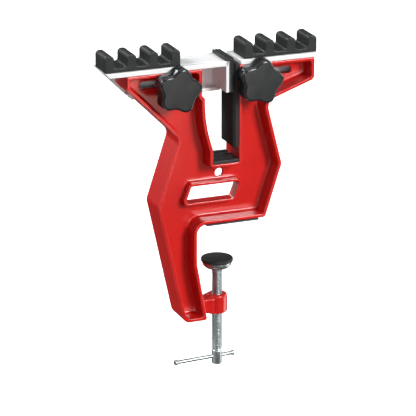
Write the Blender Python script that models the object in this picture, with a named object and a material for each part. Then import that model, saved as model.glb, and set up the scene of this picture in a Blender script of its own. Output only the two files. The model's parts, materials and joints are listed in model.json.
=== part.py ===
"""Bench-clamp ski and snowboard vise, built as an assembly of named pieces.

X runs along the two arms, -Y is the front with the star knobs, +Z is up.
The origin is on the clamp screw's axis, on the underside of the bench pad.
All dimensions below are in millimetres.
"""
import math

import bmesh
import bpy
from mathutils import Matrix, Vector

MM = 0.001
TOUCH_GAP = 0.3
RUN_GAP = 0.1
ROUND_STEPS = 32
SMALL_ROUND_STEPS = 24
HEXAGON_STEPS = 6
ARC_STEP = math.radians(11.0)
SHARP_ANGLE = math.radians(28.0)
LEAST_FILLET = 0.3
CUT_MARGIN = 1.0
DEEP_CUT_MARGIN = 10.0
EDGE_CHAMFER = 0.8
SHARP_CORNER = 0.4
SOFT_CORNER = 1.0

# Frame casting: an I-section plate with a rim all round and a thin web
FRAME_HALF_DEPTH = 16.0
RIM_WIDTH = 3.3
WEB_FRONT = 0.0
WEB_BACK = 4.0
WEB_MIDDLE = (WEB_FRONT + WEB_BACK) / 2.0
ARM_TOP = 149.0
LEFT_ARM_END = -92.0
RIGHT_ARM_END = 89.0
NOTCH_LEFT = -17.7
NOTCH_STEP_LEFT = -20.5
NOTCH_RIGHT = 15.0
NOTCH_FLOOR_LEFT = -9.7
NOTCH_FLOOR = 58.0
STEP_TOP = 124.0
STEP_BOTTOM = 121.2
THROAT_WALL = -25.5
FOOT_BOTTOM = -91.4

# Bench side of the clamp
BENCH_PAD_THICKNESS = 1.5
BENCH_PAD_LEFT = -16.5
BENCH_PAD_RIGHT = 35.0
BENCH_FACE = BENCH_PAD_THICKNESS + TOUCH_GAP

# Hand opening, a leaning parallelogram with a raised collar, and the round hole above it
OPENING_TOP = 36.8
OPENING_BOTTOM = 21.2
OPENING_TOP_LEFT = -27.8
OPENING_WIDTH = 46.7
OPENING_LEAN = 5.8
OPENING_RADIUS = 2.0
COLLAR_WALL = 2.8
COLLAR_FRONT = -8.0
HOLE_X = 2.0
HOLE_Z = 44.9
HOLE_RADIUS = 4.0

# Slots in the web that the clamp bolts travel in
SLOT_Z = 135.0
SLOT_HALF_HEIGHT = 3.5
LEFT_SLOT = (-71.5, -36.5)
RIGHT_SLOT = (29.5, 69.5)

# Sliders: a top plate on the arm, a leg down its back and a guide flange in the back pocket
PLATE_BOTTOM = ARM_TOP + TOUCH_GAP
PLATE_TOP = PLATE_BOTTOM + 4.5
PLATE_FRONT = -16.8
LEG_FRONT = FRAME_HALF_DEPTH + TOUCH_GAP
LEG_BACK = LEG_FRONT + 3.0
FLANGE_FRONT = 5.5
FLANGE_BOTTOM = 121.0
FLANGE_TOP = 124.2
GROOVE_GAP = 0.4
GROOVE_END_GAP = 1.0
LEFT_SLIDER_END = -112.5
RIGHT_SLIDER_START = 16.3
RIGHT_SLIDER_END = 91.0
RIGHT_FLANGE_START = 19.5
JAW_LEFT = 2.0
JAW_RIGHT = 5.0
JAW_BOTTOM = 124.6

# Rubber pads in the notch
JAW_PAD_THICKNESS = 4.0
JAW_LIP_LENGTH = 8.0
JAW_LIP_TOP = 157.3
WALL_PAD_THICKNESS = 5.0
WALL_PAD_BOTTOM = 72.0
WALL_PAD_TOP = 151.5
FLOOR_PAD_THICKNESS = 3.0
PAD_TOP_ROUND = 2.0
JAW_LIP_ROUND = 1.6

# Rubber support combs on the sliders
COMB_LENGTH = 71.0
COMB_FRONT = -15.8
COMB_BACK = 11.5
COMB_BASE = 4.0
COMB_BOTTOM = PLATE_TOP + TOUCH_GAP
COMB_TOP = 169.3
RIDGE_COUNT = 4
RIDGE_WIDTH = 8.8
RIDGE_ROUND = 3.8
RIDGE_TAPER = 1.0
RIDGE_ROOT_ROUND = 2.0
LEFT_COMB_START = -112.3
RIGHT_COMB_START = 19.8

# Countersunk screws that hold the combs
COMB_SCREW_HEAD = 3.4
COMB_SCREW_SHANK = 1.7
COMB_SCREW_TOP = COMB_BOTTOM + 8.0
COMB_SCREW_Y = -2.0
COMB_SCREW_POINT = 1.5
COMB_SCREW_SINK = 0.2
COUNTERSINK_DEPTH = 0.4

# M6 clamp bolts, washers and star knobs
LEFT_BOLT_X = -47.5
RIGHT_BOLT_X = 31.0
BOLT_RADIUS = 3.0
BOLT_HEAD_RADIUS = 5.6
BOLT_HEAD_THICKNESS = 4.0
BOLT_FRONT_REACH = 20.0
WASHER_RADIUS = 9.0
WASHER_THICKNESS = 1.6
HUB_RADIUS = 8.0
INSERT_RADIUS = 4.6
INSERT_LENGTH = 14.0
KNOB_BACK = 18.0
KNOB_FACE = 33.0
KNOB_LOBES = 5
KNOB_RADIUS = 19.0
KNOB_LOBE_DEPTH = 2.1
KNOB_STEPS = 50
KNOB_FIRST_LOBE = math.radians(6.0)
KNOB_BORE_DEPTH = 24.0
KNOB_EDGE_SCALE = 0.94
KNOB_FACE_SCALE = 0.80
KNOB_BACK_BEVEL = 1.5
KNOB_SIDE_BEVEL = 2.2
KNOB_FACE_BEVEL = 0.7
HUB_OVERLAP = 1.0

# M10 clamp screw with its swivel pad and tommy bar
SCREW_RADIUS = 4.85
SCREW_BOTTOM = -142.0
SCREW_CHAMFER = 1.0
SCREW_SHOULDER = -46.6
SCREW_NECK_RADIUS = 3.2
SCREW_NECK_TOP = -43.9
SCREW_TIP_RADIUS = 4.4
SCREW_TIP_TOP = -39.6
BOSS_RADIUS = 9.6
BOSS_TOP = -72.0
BOSS_BOTTOM = -90.0
BOSS_CHAMFER = 1.8
NECK_HALF_DEPTH = 7.0
NECK_LEFT = -21.0
NECK_RIGHT = -6.5
NECK_TOP = -74.5
NECK_BOTTOM = -88.5
CUP_RADIUS = 13.6
CUP_BASE_RADIUS = 10.5
CUP_STRAIGHT = 4.2
CUP_TOP = -39.0
CUP_BOTTOM = -46.2
CAP_RADIUS = 14.9
CAP_TOP = -37.0
CAP_SKIRT_BOTTOM = -40.6
CAP_CHAMFER = 1.2
BAR_RADIUS = 1.8
BAR_END_RADIUS = 2.6
BAR_END_LENGTH = 2.4
BAR_END_TAPER = 1.0
BAR_LEFT = -43.5
BAR_RIGHT = 17.5
BAR_Z = -134.4
BAR_TURN = math.radians(4.0)

# Outline of the casting: x, z and fillet radius, counter-clockwise seen from the front
FRAME_CORNERS = (
    (LEFT_ARM_END, ARM_TOP, 1.5),
    (LEFT_ARM_END, 136.5, 3.0),
    (-42.5, 86.5, 9.0),
    (-63.5, 23.0, 9.0),
    (-38.5, FOOT_BOTTOM, 7.0),
    (-15.5, FOOT_BOTTOM, 2.0),
    (THROAT_WALL, -36.0, 20.0),
    (THROAT_WALL, BENCH_FACE, 9.0),
    (41.5, BENCH_FACE, 3.5),
    (57.5, 51.5, 8.0),
    (42.3, 112.0, 9.0),
    (RIGHT_ARM_END, 128.4, 4.5),
    (RIGHT_ARM_END, ARM_TOP, 1.5),
    (NOTCH_RIGHT, ARM_TOP, 0.8),
    (NOTCH_RIGHT, NOTCH_FLOOR, 1.0),
    (NOTCH_FLOOR_LEFT, NOTCH_FLOOR, 1.0),
    (NOTCH_FLOOR_LEFT, 71.5, 3.0),
    (NOTCH_LEFT, 96.6, 150.0),
    (NOTCH_LEFT, STEP_BOTTOM, 0.8),
    (NOTCH_STEP_LEFT, STEP_TOP, 0.8),
    (NOTCH_STEP_LEFT, ARM_TOP, 1.0),
)

OPENING_CORNERS = (
    (OPENING_TOP_LEFT, OPENING_TOP, OPENING_RADIUS),
    (OPENING_TOP_LEFT - OPENING_LEAN, OPENING_BOTTOM, OPENING_RADIUS),
    (OPENING_TOP_LEFT - OPENING_LEAN + OPENING_WIDTH, OPENING_BOTTOM, OPENING_RADIUS),
    (OPENING_TOP_LEFT + OPENING_WIDTH, OPENING_TOP, OPENING_RADIUS),
)


def clear_scene():
    """Remove every object that the file starts with."""
    for old in list(bpy.data.objects):
        bpy.data.objects.remove(old, do_unlink=True)


def make_material(name, colour, roughness, metallic=0.0):
    """A plain Principled BSDF material."""
    material = bpy.data.materials.new(name)
    material.use_nodes = True
    shader = material.node_tree.nodes["Principled BSDF"]
    shader.inputs["Base Color"].default_value = (*colour, 1.0)
    shader.inputs["Roughness"].default_value = roughness
    shader.inputs["Metallic"].default_value = metallic
    return material


def make_materials():
    """One material for each kind of surface."""
    return {
        "red_paint": make_material("red_paint", (0.62, 0.02, 0.02), 0.35, 0.2),
        "white_plastic": make_material("white_plastic", (0.85, 0.86, 0.87), 0.35),
        "black_rubber": make_material("black_rubber", (0.035, 0.037, 0.038), 0.65),
        "black_plastic": make_material("black_plastic", (0.03, 0.033, 0.035), 0.3),
        "zinc_steel": make_material("zinc_steel", (0.70, 0.73, 0.75), 0.28, 1.0),
        "brass": make_material("brass", (0.78, 0.57, 0.23), 0.3, 1.0),
    }


def add_empty(name, x, y, z, tilt=0.0, turn=0.0):
    """An empty on a joint's axis, which carries the moving pieces."""
    empty = bpy.data.objects.new(name, None)
    empty.location = (x * MM, y * MM, z * MM)
    empty.rotation_euler = (tilt, 0.0, turn)
    bpy.context.scene.collection.objects.link(empty)
    return empty


def add_piece(name, mesh_builder, material, parent=None):
    """Turn a bmesh in millimetres into an object, in metres and shaded by angle."""
    bmesh.ops.scale(mesh_builder, vec=(MM, MM, MM), verts=mesh_builder.verts)
    bmesh.ops.recalc_face_normals(mesh_builder, faces=mesh_builder.faces)
    mesh = bpy.data.meshes.new(name)
    mesh_builder.to_mesh(mesh)
    mesh_builder.free()
    piece = bpy.data.objects.new(name, mesh)
    piece.data.materials.append(material)
    piece.parent = parent
    bpy.context.scene.collection.objects.link(piece)
    shade_by_angle(piece)
    return piece


def shade_by_angle(piece):
    """Smooth the round faces and keep the real edges sharp."""
    piece.data.shade_smooth()
    piece.data.set_sharp_from_angle(angle=SHARP_ANGLE)


def combine(piece, tool, operation):
    """Apply one Boolean of tool to piece and remove the tool."""
    modifier = piece.modifiers.new(operation.lower(), "BOOLEAN")
    modifier.operation = operation
    modifier.solver = "EXACT"
    modifier.object = tool
    bpy.context.view_layer.update()
    depsgraph = bpy.context.evaluated_depsgraph_get()
    result = bpy.data.meshes.new_from_object(piece.evaluated_get(depsgraph))
    piece.modifiers.clear()
    piece.data = result
    bpy.data.objects.remove(tool, do_unlink=True)
    shade_by_angle(piece)


def cut(piece, tool):
    """Take the tool's space away from the piece."""
    combine(piece, tool, "DIFFERENCE")


def fuse(piece, tool):
    """Join the tool to the piece as one body."""
    combine(piece, tool, "UNION")


def rounded_outline(corners, inset=0.0):
    """Points of a closed outline with filleted corners, moved inwards by inset."""
    points = []
    for index, (x, z, radius) in enumerate(corners):
        here = Vector((x, z))
        before = Vector(corners[index - 1][:2])
        after = Vector(corners[(index + 1) % len(corners)][:2])
        arriving = (here - before).normalized()
        leaving = (after - here).normalized()
        left_in = Vector((-arriving.y, arriving.x))
        left_out = Vector((-leaving.y, leaving.x))
        corner = here + (left_in + left_out) * inset / (1.0 + left_in.dot(left_out))
        turn = math.atan2(arriving.cross(leaving), arriving.dot(leaving))
        side = math.copysign(1.0, turn)
        fillet = max(radius - side * inset, LEAST_FILLET)
        start = corner - arriving * fillet * math.tan(abs(turn) / 2.0)
        centre = start + left_in * fillet * side
        steps = max(1, math.ceil(abs(turn) / ARC_STEP))
        for step in range(steps + 1):
            spoke = start - centre
            spoke.rotate(Matrix.Rotation(turn * step / steps, 2))
            points.append(centre + spoke)
    return [(point.x, point.y) for point in points]


def prism(outline, front, back):
    """A bmesh of an XZ outline extruded from y = front to y = back."""
    builder = bmesh.new()
    ring = [builder.verts.new((x, front, z)) for x, z in outline]
    face = builder.faces.new(ring)
    extruded = bmesh.ops.extrude_face_region(builder, geom=[face])
    moved = [item for item in extruded["geom"] if isinstance(item, bmesh.types.BMVert)]
    bmesh.ops.translate(builder, vec=(0.0, back - front, 0.0), verts=moved)
    return builder


def side_prism(outline, left, right):
    """A bmesh of a YZ outline extruded from x = left to x = right."""
    builder = prism(outline, left, right)
    for vert in builder.verts:
        y, x, z = vert.co
        vert.co = (x, y, z)
    return builder


def box(left, right, front, back, bottom, top):
    """A bmesh box between six planes."""
    outline = [(left, bottom), (right, bottom), (right, top), (left, top)]
    return prism(outline, front, back)


def lathe(profile, steps=ROUND_STEPS):
    """A bmesh of a closed (radius, height) profile spun about Z."""
    builder = bmesh.new()
    rings = []
    for radius, height in profile:
        if radius == 0.0:
            rings.append([builder.verts.new((0.0, 0.0, height))])
            continue
        angles = [2.0 * math.pi * step / steps for step in range(steps)]
        rings.append([builder.verts.new((radius * math.cos(a), radius * math.sin(a), height))
                      for a in angles])
    for lower, upper in zip(rings, rings[1:] + rings[:1]):
        join_rings(builder, lower, upper)
    return builder


def join_rings(builder, lower, upper):
    """Faces between two rings; a ring of one point makes a fan."""
    steps = max(len(lower), len(upper))
    if steps == 1:
        return
    for step in range(steps):
        after = (step + 1) % steps
        corners = [lower[step % len(lower)], lower[after % len(lower)],
                   upper[after % len(upper)], upper[step % len(upper)]]
        unique = list(dict.fromkeys(corners))
        builder.faces.new(unique)


def slot_outline(left, right, z, half_height):
    """A slot with round ends between two bolt centres."""
    corners = ((left - half_height, z + half_height, half_height),
               (left - half_height, z - half_height, half_height),
               (right + half_height, z - half_height, half_height),
               (right + half_height, z + half_height, half_height))
    return rounded_outline(corners)


def disc_cutter(x, z, radius, front, back):
    """A short round cutter along Y."""
    angles = [2.0 * math.pi * step / ROUND_STEPS for step in range(ROUND_STEPS)]
    outline = [(x + radius * math.cos(a), z + radius * math.sin(a)) for a in angles]
    return prism(outline, front, back)


def build_frame(mats):
    """The red casting: rim, web, collar, slots, guide grooves and threaded boss."""
    paint = mats["red_paint"]
    deep = FRAME_HALF_DEPTH
    over = DEEP_CUT_MARGIN
    frame = add_piece("frame_casting", prism(rounded_outline(FRAME_CORNERS), -deep, deep), paint)
    pocket = rounded_outline(FRAME_CORNERS, RIM_WIDTH)
    cut(frame, add_piece("front_pocket", prism(pocket, -deep - over, WEB_FRONT), paint))
    cut(frame, add_piece("back_pocket", prism(pocket, WEB_BACK, deep + over), paint))
    collar = rounded_outline(OPENING_CORNERS, -COLLAR_WALL)
    fuse(frame, add_piece("collar", prism(collar, COLLAR_FRONT, WEB_MIDDLE), paint))
    opening = rounded_outline(OPENING_CORNERS)
    cut(frame, add_piece("opening", prism(opening, -deep, deep), paint))
    cut(frame, add_piece("hole", disc_cutter(HOLE_X, HOLE_Z, HOLE_RADIUS, -deep, deep), paint))
    for name, (left, right) in (("left_slot", LEFT_SLOT), ("right_slot", RIGHT_SLOT)):
        slot = slot_outline(left, right, SLOT_Z, SLOT_HALF_HEIGHT)
        cut(frame, add_piece(name, prism(slot, WEB_FRONT - CUT_MARGIN, WEB_BACK + CUT_MARGIN), paint))
    for name, left, right in (("left_groove", LEFT_ARM_END - over, 0.0),
                              ("right_groove", RIGHT_FLANGE_START - GROOVE_END_GAP, RIGHT_ARM_END + over)):
        groove = box(left, right, FLANGE_FRONT - GROOVE_GAP, deep + over,
                     FLANGE_BOTTOM - GROOVE_GAP, FLANGE_TOP + GROOVE_GAP)
        cut(frame, add_piece(name, groove, paint))
    neck = box(NECK_LEFT, NECK_RIGHT, -NECK_HALF_DEPTH, NECK_HALF_DEPTH, NECK_BOTTOM, NECK_TOP)
    fuse(frame, add_piece("neck", neck, paint))
    boss = lathe([(0.0, BOSS_BOTTOM), (BOSS_RADIUS - BOSS_CHAMFER, BOSS_BOTTOM),
                  (BOSS_RADIUS, BOSS_BOTTOM + BOSS_CHAMFER), (BOSS_RADIUS, BOSS_TOP - BOSS_CHAMFER),
                  (BOSS_RADIUS - BOSS_CHAMFER, BOSS_TOP), (0.0, BOSS_TOP)])
    fuse(frame, add_piece("boss", boss, paint))
    bore = lathe([(0.0, BOSS_BOTTOM - over), (SCREW_RADIUS + RUN_GAP, BOSS_BOTTOM - over),
                  (SCREW_RADIUS + RUN_GAP, BOSS_TOP + over), (0.0, BOSS_TOP + over)])
    cut(frame, add_piece("bore", bore, paint))
    return frame


def build_fixed_pads(mats):
    """The rubber pads glued to the casting."""
    rubber = mats["black_rubber"]
    deep = FRAME_HALF_DEPTH
    wall_right = NOTCH_RIGHT - TOUCH_GAP
    wall_left = wall_right - WALL_PAD_THICKNESS
    wall_corners = ((wall_left, WALL_PAD_TOP, PAD_TOP_ROUND), (wall_left, WALL_PAD_BOTTOM, SOFT_CORNER),
                    (wall_right, WALL_PAD_BOTTOM, SHARP_CORNER), (wall_right, WALL_PAD_TOP, SOFT_CORNER))
    wall = prism(rounded_outline(wall_corners), -deep, deep)
    add_piece("notch_wall_pad", wall, rubber)
    floor = box(NOTCH_FLOOR_LEFT + TOUCH_GAP, NOTCH_RIGHT - TOUCH_GAP, -deep, deep,
                NOTCH_FLOOR + TOUCH_GAP, NOTCH_FLOOR + TOUCH_GAP + FLOOR_PAD_THICKNESS)
    add_piece("notch_floor_pad", floor, rubber)
    bench = box(BENCH_PAD_LEFT, BENCH_PAD_RIGHT, -deep, deep, 0.0, BENCH_PAD_THICKNESS)
    add_piece("bench_pad", bench, rubber)


def slider_profile(left, right):
    """A slider's top plate, back leg and guide flange as one length of profile."""
    outline = [(PLATE_FRONT, PLATE_BOTTOM), (LEG_FRONT, PLATE_BOTTOM), (LEG_FRONT, FLANGE_TOP),
               (FLANGE_FRONT, FLANGE_TOP), (FLANGE_FRONT, FLANGE_BOTTOM), (LEG_BACK, FLANGE_BOTTOM),
               (LEG_BACK, PLATE_TOP), (PLATE_FRONT, PLATE_TOP)]
    return side_prism(outline, left, right)


def drill_slider(slider, bolt_x, screw_xs, plastic):
    """The bolt hole in the leg and the countersunk holes in the top plate."""
    bolt_hole = disc_cutter(bolt_x, SLOT_Z, BOLT_RADIUS + TOUCH_GAP,
                            LEG_FRONT - CUT_MARGIN, LEG_BACK + CUT_MARGIN)
    cut(slider, add_piece("bolt_hole", bolt_hole, plastic))
    for x in screw_xs:
        head = COMB_SCREW_HEAD + TOUCH_GAP
        shank = COMB_SCREW_SHANK + TOUCH_GAP
        sink = head - shank
        seat = PLATE_BOTTOM + COUNTERSINK_DEPTH
        below = PLATE_BOTTOM - CUT_MARGIN
        above = PLATE_TOP + CUT_MARGIN
        sinker = lathe([(0.0, below), (head, below), (head, seat), (shank, seat + sink),
                        (shank, above), (0.0, above)], SMALL_ROUND_STEPS)
        bmesh.ops.translate(sinker, vec=(x, COMB_SCREW_Y, 0.0), verts=sinker.verts)
        cut(slider, add_piece("screw_hole", sinker, plastic))


def ridge_centres(start):
    """X of each ridge of the comb that begins at start."""
    pitch = (COMB_LENGTH - RIDGE_WIDTH) / (RIDGE_COUNT - 1)
    return [start + RIDGE_WIDTH / 2.0 + pitch * index for index in range(RIDGE_COUNT)]


def comb_corners(start):
    """XZ outline of a comb: a base strip with round-topped ridges."""
    base_top = COMB_BOTTOM + COMB_BASE
    half = RIDGE_WIDTH / 2.0
    corners = [(start, COMB_BOTTOM, SHARP_CORNER), (start + COMB_LENGTH, COMB_BOTTOM, SHARP_CORNER)]
    for number, x in enumerate(reversed(ridge_centres(start))):
        if number > 0:
            corners.append((x + half + RIDGE_TAPER, base_top, RIDGE_ROOT_ROUND))
        corners.append((x + half, COMB_TOP, RIDGE_ROUND))
        corners.append((x - half, COMB_TOP, RIDGE_ROUND))
        if number < RIDGE_COUNT - 1:
            corners.append((x - half - RIDGE_TAPER, base_top, RIDGE_ROOT_ROUND))
    return corners


def build_comb(side, start, parent, mats):
    """One rubber comb with its two screws from below."""
    comb = add_piece(side + "_comb", prism(rounded_outline(comb_corners(start)), COMB_FRONT, COMB_BACK),
                     mats["black_rubber"], parent)
    screw_xs = ridge_centres(start)[1:3]
    for number, x in enumerate(screw_xs, 1):
        pilot_radius = COMB_SCREW_SHANK + RUN_GAP
        pilot_top = COMB_SCREW_TOP + TOUCH_GAP
        below = COMB_BOTTOM - CUT_MARGIN
        pilot = lathe([(0.0, below), (pilot_radius, below), (pilot_radius, pilot_top), (0.0, pilot_top)],
                      SMALL_ROUND_STEPS)
        bmesh.ops.translate(pilot, vec=(x, COMB_SCREW_Y, 0.0), verts=pilot.verts)
        cut(comb, add_piece("pilot", pilot, mats["black_rubber"]))
        sink = COMB_SCREW_HEAD - COMB_SCREW_SHANK
        head_bottom = PLATE_BOTTOM + COMB_SCREW_SINK
        screw = lathe([(0.0, head_bottom), (COMB_SCREW_HEAD, head_bottom),
                       (COMB_SCREW_SHANK, head_bottom + sink),
                       (COMB_SCREW_SHANK, COMB_SCREW_TOP - COMB_SCREW_POINT),
                       (0.0, COMB_SCREW_TOP)], SMALL_ROUND_STEPS)
        bmesh.ops.translate(screw, vec=(x, COMB_SCREW_Y, 0.0), verts=screw.verts)
        add_piece("{}_comb_screw_{}".format(side, number), screw, mats["zinc_steel"], parent)
    return screw_xs


def build_left_slider(mats):
    """The slider that carries the moving jaw, its rubber jaw pad and its comb."""
    plastic = mats["white_plastic"]
    carrier = add_empty("left_slider_guide", 0.0, 0.0, 0.0)
    slider = add_piece("left_slider", slider_profile(LEFT_SLIDER_END, JAW_RIGHT), plastic, carrier)
    jaw = box(JAW_LEFT, JAW_RIGHT, PLATE_FRONT, LEG_BACK, JAW_BOTTOM, PLATE_TOP)
    fuse(slider, add_piece("jaw", jaw, plastic))
    reach = PLATE_TOP - FLANGE_BOTTOM
    over = DEEP_CUT_MARGIN
    wedge = [(LEFT_SLIDER_END - over, PLATE_TOP + over), (LEFT_SLIDER_END - over, FLANGE_BOTTOM - over),
             (LEFT_SLIDER_END + reach + over, FLANGE_BOTTOM - over)]
    cut(slider, add_piece("slanted_end", prism(wedge, PLATE_FRONT - over, LEG_BACK + over), plastic))
    screw_xs = build_comb("left", LEFT_COMB_START, carrier, mats)
    drill_slider(slider, LEFT_BOLT_X, screw_xs, plastic)
    pad_left = JAW_RIGHT + TOUCH_GAP
    pad_right = pad_left + JAW_PAD_THICKNESS
    lip_bottom = PLATE_TOP + TOUCH_GAP
    lip_left = pad_right - JAW_LIP_LENGTH
    pad_corners = ((pad_right, JAW_LIP_TOP, JAW_LIP_ROUND), (lip_left, JAW_LIP_TOP, SOFT_CORNER),
                   (lip_left, lip_bottom, SHARP_CORNER), (pad_left, lip_bottom, LEAST_FILLET),
                   (pad_left, JAW_BOTTOM, SHARP_CORNER), (pad_right, JAW_BOTTOM, SOFT_CORNER))
    pad = prism(rounded_outline(pad_corners), PLATE_FRONT, FRAME_HALF_DEPTH)
    add_piece("left_jaw_pad", pad, mats["black_rubber"], carrier)
    return carrier


def build_right_slider(mats):
    """The plain slider that widens the support."""
    plastic = mats["white_plastic"]
    carrier = add_empty("right_slider_guide", 0.0, 0.0, 0.0)
    slider = add_piece("right_slider", slider_profile(RIGHT_SLIDER_START, RIGHT_SLIDER_END), plastic, carrier)
    relief = box(RIGHT_SLIDER_START - CUT_MARGIN, RIGHT_FLANGE_START, 0.0, LEG_FRONT,
                 FLANGE_BOTTOM - CUT_MARGIN, FLANGE_TOP + CUT_MARGIN)
    cut(slider, add_piece("relief", relief, plastic))
    screw_xs = build_comb("right", RIGHT_COMB_START, carrier, mats)
    drill_slider(slider, RIGHT_BOLT_X, screw_xs, plastic)
    return carrier


def lobe_radius(angle):
    """Radius of the star knob's edge at an angle."""
    return KNOB_RADIUS + KNOB_LOBE_DEPTH * math.cos(KNOB_LOBES * (angle - KNOB_FIRST_LOBE))


def knob_body():
    """The star head and its hub, front face at +Z, closed around a blind bore."""
    steps = KNOB_STEPS
    bore = INSERT_RADIUS + TOUCH_GAP
    hub_back = WASHER_THICKNESS + 2.0 * TOUCH_GAP
    levels = (
        (0.0, HUB_RADIUS, hub_back),
        (0.0, HUB_RADIUS, KNOB_BACK - HUB_OVERLAP),
        (KNOB_EDGE_SCALE, 0.0, KNOB_BACK),
        (1.0, 0.0, KNOB_BACK + KNOB_BACK_BEVEL),
        (1.0, 0.0, KNOB_FACE - KNOB_SIDE_BEVEL),
        (KNOB_EDGE_SCALE, 0.0, KNOB_FACE - KNOB_FACE_BEVEL),
        (KNOB_FACE_SCALE, 0.0, KNOB_FACE),
    )
    bore_levels = (
        (0.0, bore, hub_back),
        (0.0, bore, KNOB_BORE_DEPTH),
    )
    builder = bmesh.new()
    rings = []
    for star, radius, height in levels + bore_levels:
        ring = []
        for step in range(steps):
            angle = 2.0 * math.pi * step / steps
            reach = star * lobe_radius(angle) + radius
            ring.append(builder.verts.new((reach * math.cos(angle), reach * math.sin(angle), height)))
        rings.append(ring)
    outside = rings[:len(levels)]
    bore_mouth, bore_end = rings[len(levels):]
    for lower, upper in zip(outside, outside[1:]):
        join_rings(builder, lower, upper)
    builder.faces.new(outside[-1])
    join_rings(builder, outside[0], bore_mouth)
    join_rings(builder, bore_mouth, bore_end)
    builder.faces.new(bore_end)
    return builder


def build_clamp_set(side, bolt_x, slider, mats):
    """Bolt, washer, star knob and brass insert on one slot's axis."""
    face_front = math.pi / 2.0
    carrier = add_empty(side + "_bolt_axis", bolt_x, 0.0, SLOT_Z, tilt=face_front)
    carrier.parent = slider
    turner = add_empty(side + "_knob_axis", 0.0, 0.0, 0.0)
    turner.parent = carrier
    head_front = -(LEG_BACK + TOUCH_GAP)
    head_back = head_front - BOLT_HEAD_THICKNESS
    bolt = lathe([(0.0, head_back), (BOLT_RADIUS, head_back),
                  (BOLT_RADIUS, BOLT_FRONT_REACH - EDGE_CHAMFER),
                  (BOLT_RADIUS - EDGE_CHAMFER, BOLT_FRONT_REACH), (0.0, BOLT_FRONT_REACH)])
    hexagon = lathe([(0.0, head_back), (BOLT_HEAD_RADIUS, head_back),
                     (BOLT_HEAD_RADIUS, head_front), (0.0, head_front)], HEXAGON_STEPS)
    bolt_piece = add_piece(side + "_clamp_bolt", bolt, mats["zinc_steel"], carrier)
    fuse(bolt_piece, add_piece("hexagon", hexagon, mats["zinc_steel"], carrier))
    hole = BOLT_RADIUS + RUN_GAP
    washer = lathe([(hole, TOUCH_GAP), (WASHER_RADIUS, TOUCH_GAP),
                    (WASHER_RADIUS, TOUCH_GAP + WASHER_THICKNESS), (hole, TOUCH_GAP + WASHER_THICKNESS)])
    add_piece(side + "_washer", washer, mats["zinc_steel"], carrier)
    insert_back = WASHER_THICKNESS + 3.0 * TOUCH_GAP
    insert_front = insert_back + INSERT_LENGTH
    insert = lathe([(hole, insert_back), (INSERT_RADIUS, insert_back),
                    (INSERT_RADIUS, insert_front), (hole, insert_front)])
    add_piece(side + "_knob_insert", insert, mats["brass"], turner)
    add_piece(side + "_knob", knob_body(), mats["black_plastic"], turner)


def build_bench_clamp(mats):
    """Clamp screw with cross hole, swivel cup and cap, and the tommy bar."""
    carrier = add_empty("clamp_axis", 0.0, 0.0, 0.0)
    steel = mats["zinc_steel"]
    screw = lathe([(0.0, SCREW_BOTTOM), (SCREW_RADIUS - SCREW_CHAMFER, SCREW_BOTTOM),
                   (SCREW_RADIUS, SCREW_BOTTOM + SCREW_CHAMFER), (SCREW_RADIUS, SCREW_SHOULDER),
                   (SCREW_NECK_RADIUS, SCREW_SHOULDER), (SCREW_NECK_RADIUS, SCREW_NECK_TOP),
                   (SCREW_TIP_RADIUS, SCREW_NECK_TOP), (SCREW_TIP_RADIUS, SCREW_TIP_TOP),
                   (0.0, SCREW_TIP_TOP)])
    screw_piece = add_piece("clamp_screw", screw, steel, carrier)
    bar_axis = add_empty("bar_axis", 0.0, 0.0, BAR_Z, turn=BAR_TURN)
    bar_axis.parent = carrier
    hole = BAR_RADIUS + RUN_GAP
    half = 2.0 * SCREW_RADIUS
    cross = lathe([(0.0, -half), (hole, -half), (hole, half), (0.0, half)])
    lay_along_x(cross)
    cut(screw_piece, add_piece("cross_hole", cross, steel, bar_axis))
    tip = BAR_END_RADIUS - EDGE_CHAMFER
    left_neck = BAR_LEFT + BAR_END_LENGTH
    right_neck = BAR_RIGHT - BAR_END_LENGTH
    bar = lathe([(0.0, BAR_LEFT), (tip, BAR_LEFT), (BAR_END_RADIUS, BAR_LEFT + EDGE_CHAMFER),
                 (BAR_END_RADIUS, left_neck), (BAR_RADIUS, left_neck + BAR_END_TAPER),
                 (BAR_RADIUS, right_neck - BAR_END_TAPER), (BAR_END_RADIUS, right_neck),
                 (BAR_END_RADIUS, BAR_RIGHT - EDGE_CHAMFER), (tip, BAR_RIGHT), (0.0, BAR_RIGHT)],
                SMALL_ROUND_STEPS)
    lay_along_x(bar)
    add_piece("tommy_bar", bar, steel, bar_axis)
    neck_hole = SCREW_NECK_RADIUS + TOUCH_GAP
    tip_hole = SCREW_TIP_RADIUS + TOUCH_GAP
    floor = SCREW_NECK_TOP - TOUCH_GAP
    cup = lathe([(neck_hole, CUP_BOTTOM), (CUP_BASE_RADIUS, CUP_BOTTOM), (CUP_RADIUS, CUP_TOP - CUP_STRAIGHT),
                 (CUP_RADIUS, CUP_TOP), (tip_hole, CUP_TOP), (tip_hole, floor), (neck_hole, floor)])
    add_piece("swivel_cup", cup, steel, carrier)
    skirt = CUP_RADIUS + TOUCH_GAP
    under = CUP_TOP + TOUCH_GAP
    cap = lathe([(0.0, under), (skirt, under), (skirt, CAP_SKIRT_BOTTOM), (CAP_RADIUS, CAP_SKIRT_BOTTOM),
                 (CAP_RADIUS, CAP_TOP - CAP_CHAMFER), (CAP_RADIUS - CAP_CHAMFER, CAP_TOP), (0.0, CAP_TOP)])
    add_piece("swivel_cap", cap, mats["black_rubber"], carrier)


def lay_along_x(builder):
    """Turn a lathed piece so that its axis runs along +X."""
    turn = Matrix.Rotation(math.pi / 2.0, 3, "Y")
    bmesh.ops.rotate(builder, cent=(0.0, 0.0, 0.0), matrix=turn, verts=builder.verts)


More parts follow.
